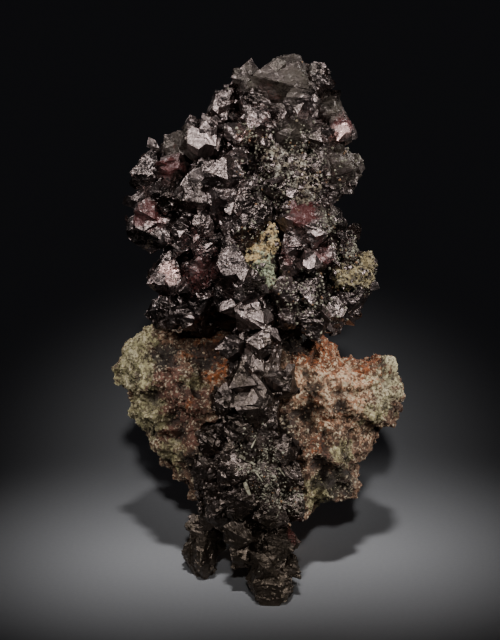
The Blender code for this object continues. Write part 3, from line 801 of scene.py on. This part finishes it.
def strewn(name, shapes, mesh, count, sizes, weight=None):
    """Many small shapes half sunk in a mesh's skin, as one mesh."""
    at, facing = scattered(mesh, count, weight)
    smallest, largest = sizes
    widths = smallest * (largest / smallest) ** (draw.random(count) ** 2) * MM
    clear = at[:, 2] > widths * 1.2
    turns = [any_turn() for _ in range(int(clear.sum()))]
    places = at[clear] + facing[clear] * widths[clear, None] * 0.2
    return joined_copies(name, shapes, places, turns, widths[clear], draw.random(len(places)))


grain_shapes = [grain_shape() for _ in range(12)]
grains = strewn("rock_grains", grain_shapes, rock.data, ROCK_GRAINS, GRAIN_SIZES)
paint_rock(grains.data)
paint(grains.data, "height", np.full(len(grains.data.vertices), 0.5))
grains.data.materials.append(rock_finish("rock_grain", lambda shade: shade.painted("tone")))
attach(grains, "root")

# The bits of host rock that the crystals closed round: a yellow-green splinter in the
# middle, a yellow crust on the knob at the right and a pale one in the upper right. Small
# copper crystals have grown on them.
CRUST_GRID = 0.25 * MM
CRUST_GRAINS = 800
CRUST_GRAIN_SIZES = (0.14, 0.40)
# Each bit's name and its body, pale and rusty colours.
CAUGHT_ROCK = {
    "rock_wedge": ("splinter", (0.58, 0.41, 0.20), (0.42, 0.46, 0.30), (0.28, 0.12, 0.05)),
    "knob_crust": ("yellow_crust", (0.32, 0.25, 0.13), (0.50, 0.43, 0.27), (0.12, 0.050, 0.03)),
    "crown_crust": ("pale_crust", (0.26, 0.205, 0.145), (0.50, 0.455, 0.38), (0.09, 0.06, 0.045)),
}
CRYSTALS_ON_CRUST = {"rock_wedge": 50, "knob_crust": 130, "crown_crust": 420}
CRUST_CRYSTAL_SIZES = (0.22, 0.65)
PALE_TIP = [(1.2, 61.0, 3.2, 1.0), (4.0, 82.0, 3.0, 0.3)]  # where they are palest


def crust_relief(place):
    """How far the skin of the caught rock stands out at a place, in metres."""
    p = place / MM
    nearest = noise.voronoi(p * 0.9)[0][0]
    rough = 0.5 * noise.noise(p * 0.7) + 0.3 * noise.noise(p * 2.4) + 0.15 * noise.noise(p * 4.5)
    return (0.6 * (0.35 - nearest) + rough) * MM


def crust_finish(name, body, pale, rust, tone=None):
    """Caught rock: its body colour, pale patches, rusty and dark grains. tone makes whole
    grains lighter or darker."""
    material, shader, shade = new_material(name)
    patch = shade.noise(1.8 * MM, 3.0)
    fine = shade.noise(0.3 * MM, 2.0, 0.7)
    grain = shade.node("ShaderNodeSeparateColor", {}, {"Color": shade.cells(0.4 * MM, "Color")})
    pale_share = (patch - 0.15 + shade.painted("pale") * 0.3).between(0.35, 0.5)
    colour = shade.mixed(pale_share, body, pale)
    colour = shade.mixed((fine * 0.6 + patch * 0.5).between(0.58, 0.7) * 0.8, colour, rust)
    colour = shade.mixed((0.45 - grain).between(0.0, 0.3) * 0.8, colour, (0.045, 0.033, 0.025))
    if tone is not None:
        colour = shade.mixed(tone(shade).between(0.5, 0.1) * 0.8, colour, (0.05, 0.037, 0.028))
        colour = shade.mixed(tone(shade).between(0.75, 1.0) * 0.5, colour, (0.50, 0.46, 0.34))
    plug(shader, "Base Color", colour)
    plug(shader, "Roughness", 0.6 + fine * 0.3)
    bump = shade.node("ShaderNodeBump", {}, {
        "Strength": 0.8, "Distance": 0.1 * MM, "Height": fine + grain * 0.6})
    plug(shader, "Normal", bump)
    return material


for node, (name, *colours) in CAUGHT_ROCK.items():
    crust = copy_of_node(node, name)
    roughen(crust, CRUST_GRID, crust_relief)
    paint(crust.data, "pale", spots(face_places(points_of(crust.data)), PALE_TIP))
    crust.data.materials.clear()
    crust.data.materials.append(crust_finish(name, *colours))
    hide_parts(node)
    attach(crust, "root")
    loose = strewn(name + "_grains", grain_shapes, crust.data, CRUST_GRAINS, CRUST_GRAIN_SIZES)
    paint(loose.data, "pale", spots(face_places(points_of(loose.data)), PALE_TIP))
    loose.data.materials.append(crust_finish(name + "_grain", *colours,
                                             lambda shade: shade.painted("tone")))
    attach(loose, "root")
    grown = strewn(name + "_crystals", shapes, crust.data, CRYSTALS_ON_CRUST[node],
                   CRUST_CRYSTAL_SIZES)
    paint_copper(grown.data)
    grown.data.materials.append(tenorite_grown)
    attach(grown, "root")

# The grains of host rock that still cling to the copper, pale green and cream: between the
# crystals of the upper right, round the splinter, on the knob and on the apron below.
CLINGING = 4300
CLINGING_SIZES = (0.12, 0.36)
CLINGING_PLACES = [(4.0, 81.5, 6.0, 1.0), (7.0, 86.0, 4.0, 0.6), (13.0, 82.0, 5.0, 0.3),
                   (-2.0, 69.0, 3.0, 0.4), (12.5, 71.5, 2.0, 0.7), (18.0, 64.0, 4.5, 0.9),
                   (9.0, 57.0, 5.0, 0.45), (-1.0, 25.5, 2.6, 1.0), (0.8, 22.0, 2.4, 1.0),
                   (1.5, 28.5, 2.0, 0.9), (-3.4, 29.5, 1.6, 0.6), (4.5, 20.0, 3.0, 0.7),
                   (8.0, 19.0, 2.4, 0.6), (-2.0, 33.0, 2.0, 0.4),
                   (-3.2, 88.0, 1.6, 0.9), (5.0, 58.5, 3.0, 0.35)]


def clinging_room(middles, facing):
    """Where grains cling. They only lie on what faces the best side, and sparsely behind."""
    cover = spots(face_places(middles), CLINGING_PLACES)
    return 0.002 + cover ** 1.5 * (facing @ np.array(TOWARDS_CAMERA) > 0)


clinging = strewn("clinging_grains", grain_shapes, copper.data, CLINGING, CLINGING_SIZES,
                  clinging_room)
material, shader, shade = new_material("pale_grain")
grain_tone = shade.painted("tone")
fine = shade.noise(0.2 * MM, 2.0)
colour = shade.mixed(grain_tone.between(0.2, 0.8), (0.085, 0.07, 0.05), (0.38, 0.35, 0.26))
colour = shade.mixed(grain_tone.between(0.93, 0.95), colour, (0.30, 0.15, 0.07))
plug(shader, "Base Color", shade.mixed(fine * 0.4, colour, (0.16, 0.15, 0.11)))
plug(shader, "Roughness", 0.5 + fine * 0.3)
clinging.data.materials.append(material)
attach(clinging, "root")

# The pale laths among the small crystals above the feet: long flat crystals of a light
# mineral that the copper's growth closed round, each half sunk in its skin. Across, up and
# length in mm on the best face, and the slope of each in degrees.
PALE_LATHS = [(-2.5, 27.0, 4.2, -37), (-2.4, 20.8, 5.0, -76), (0.9, 27.8, 2.6, -72),
              (-0.6, 24.2, 2.4, -60), (1.6, 23.2, 2.8, 40), (-0.2, 21.0, 2.2, -15),
              (1.8, 20.0, 2.0, 65), (-4.4, 25.4, 2.2, 20), (3.6, 25.0, 2.2, -50),
              (4.2, 18.6, 2.4, 10), (-1.6, 30.4, 2.0, 55), (6.6, 20.4, 1.8, -30)]
LATH_WIDTH, LATH_THICKNESS = 0.16, 0.12  # of its length

form = bmesh.new()
bmesh.ops.create_cube(form, size=1.0)
bmesh.ops.bevel(form, geom=form.edges[:], affect="EDGES", offset=0.12, segments=1, profile=0.5,
                material=-1)
for v in form.verts:
    if v.co.x > 0:
        v.co = Vector((v.co.x, v.co.y * 0.7, v.co.z * 0.45 + 0.1))
bmesh.ops.triangulate(form, faces=form.faces)
form.verts.index_update()
lath_corners = np.array([v.co for v in form.verts])
lath_triangles = np.array([[v.index for v in f.verts] for f in form.faces])
form.free()
places, turns, sizes = [], [], []
for across, up, length, slope in PALE_LATHS:
    start = on_face(across, up) + TOWARDS_CAMERA * 0.1
    hit = copper_skin.ray_cast(start, -TOWARDS_CAMERA)[0]
    if hit is None:
        continue
    way = Matrix.Rotation(-math.radians(slope + rng.uniform(-8, 8)), 3, "Y")
    out_of_face = Matrix.Rotation(rng.uniform(-0.3, 0.3), 3, "Z")
    flat = Matrix.Diagonal((1, LATH_THICKNESS, LATH_WIDTH))
    places.append(hit)
    turns.append(Matrix.Rotation(-LEAN, 3, "X") @ way @ out_of_face @ flat)
    sizes.append(length * MM)
laths = joined_copies("pale_laths", [(lath_corners, lath_triangles)], places, turns, sizes,
                      draw.random(len(places)))
material, shader, shade = new_material("pale_lath")
cloud = shade.noise(0.8 * MM, 3.0)
plug(shader, "Base Color", shade.mixed(cloud.between(0.35, 0.6), (0.12, 0.10, 0.065),
                                       (0.38, 0.35, 0.25)))
plug(shader, "Roughness", 0.4 + cloud * 0.3)
laths.data.materials.append(material)
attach(laths, "root")

# The soft boxes are kept off the floor, and the floor's spots off the specimen, so that the
# floor stays as dim as the photograph's. The spots still throw the specimen's shadow on it.
specimen = bpy.data.collections.new("specimen")
for thing in list(bpy.data.objects):
    if thing.type == "MESH" and thing != floor:
        specimen.objects.link(thing)
ground = bpy.data.collections.new("ground")
ground.objects.link(floor)
for lamps, lit_things in ((specimen_lamps, specimen), (floor_lamps, ground)):
    for lamp in lamps:
        lamp.light_linking.receiver_collection = lit_things
